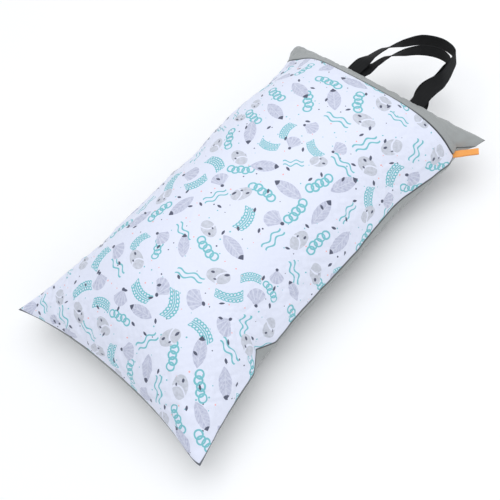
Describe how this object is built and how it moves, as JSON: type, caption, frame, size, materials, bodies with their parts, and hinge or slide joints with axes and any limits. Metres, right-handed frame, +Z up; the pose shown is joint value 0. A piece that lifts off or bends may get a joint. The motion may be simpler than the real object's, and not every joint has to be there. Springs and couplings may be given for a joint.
{
  "type": "cloth diaper wet bag",
  "caption": "Stuffed waterproof cloth bag lying on its back: printed front, plain zipped yoke and back, webbing carrying loops and a small folded side tab.",
  "frame": {"origin": "middle of the flat patch that the back rests on, on the floor", "axes": "+Z up from the back to the front, +Y from the bottom seam to the top seam with the carrying loops, +X towards the side tab"},
  "size_m": [0.3977, 0.7399, 0.1656],
  "materials": {
    "printed_cloth": "smooth laminated knit with a small print",
    "plain_cloth": "smooth laminated knit, plain gray",
    "zipper": "woven tape with a plastic coil",
    "webbing": "flat woven webbing",
    "tab_ribbon": "satin woven ribbon"
  },
  "bodies": {
    "root": {"front_panel": "printed_cloth", "front_yoke": "plain_cloth", "back_panel": "plain_cloth", "zipper": "zipper", "handle_front": "webbing", "handle_rear": "webbing", "side_tab": "tab_ribbon"}
  },
  "joints": []
}
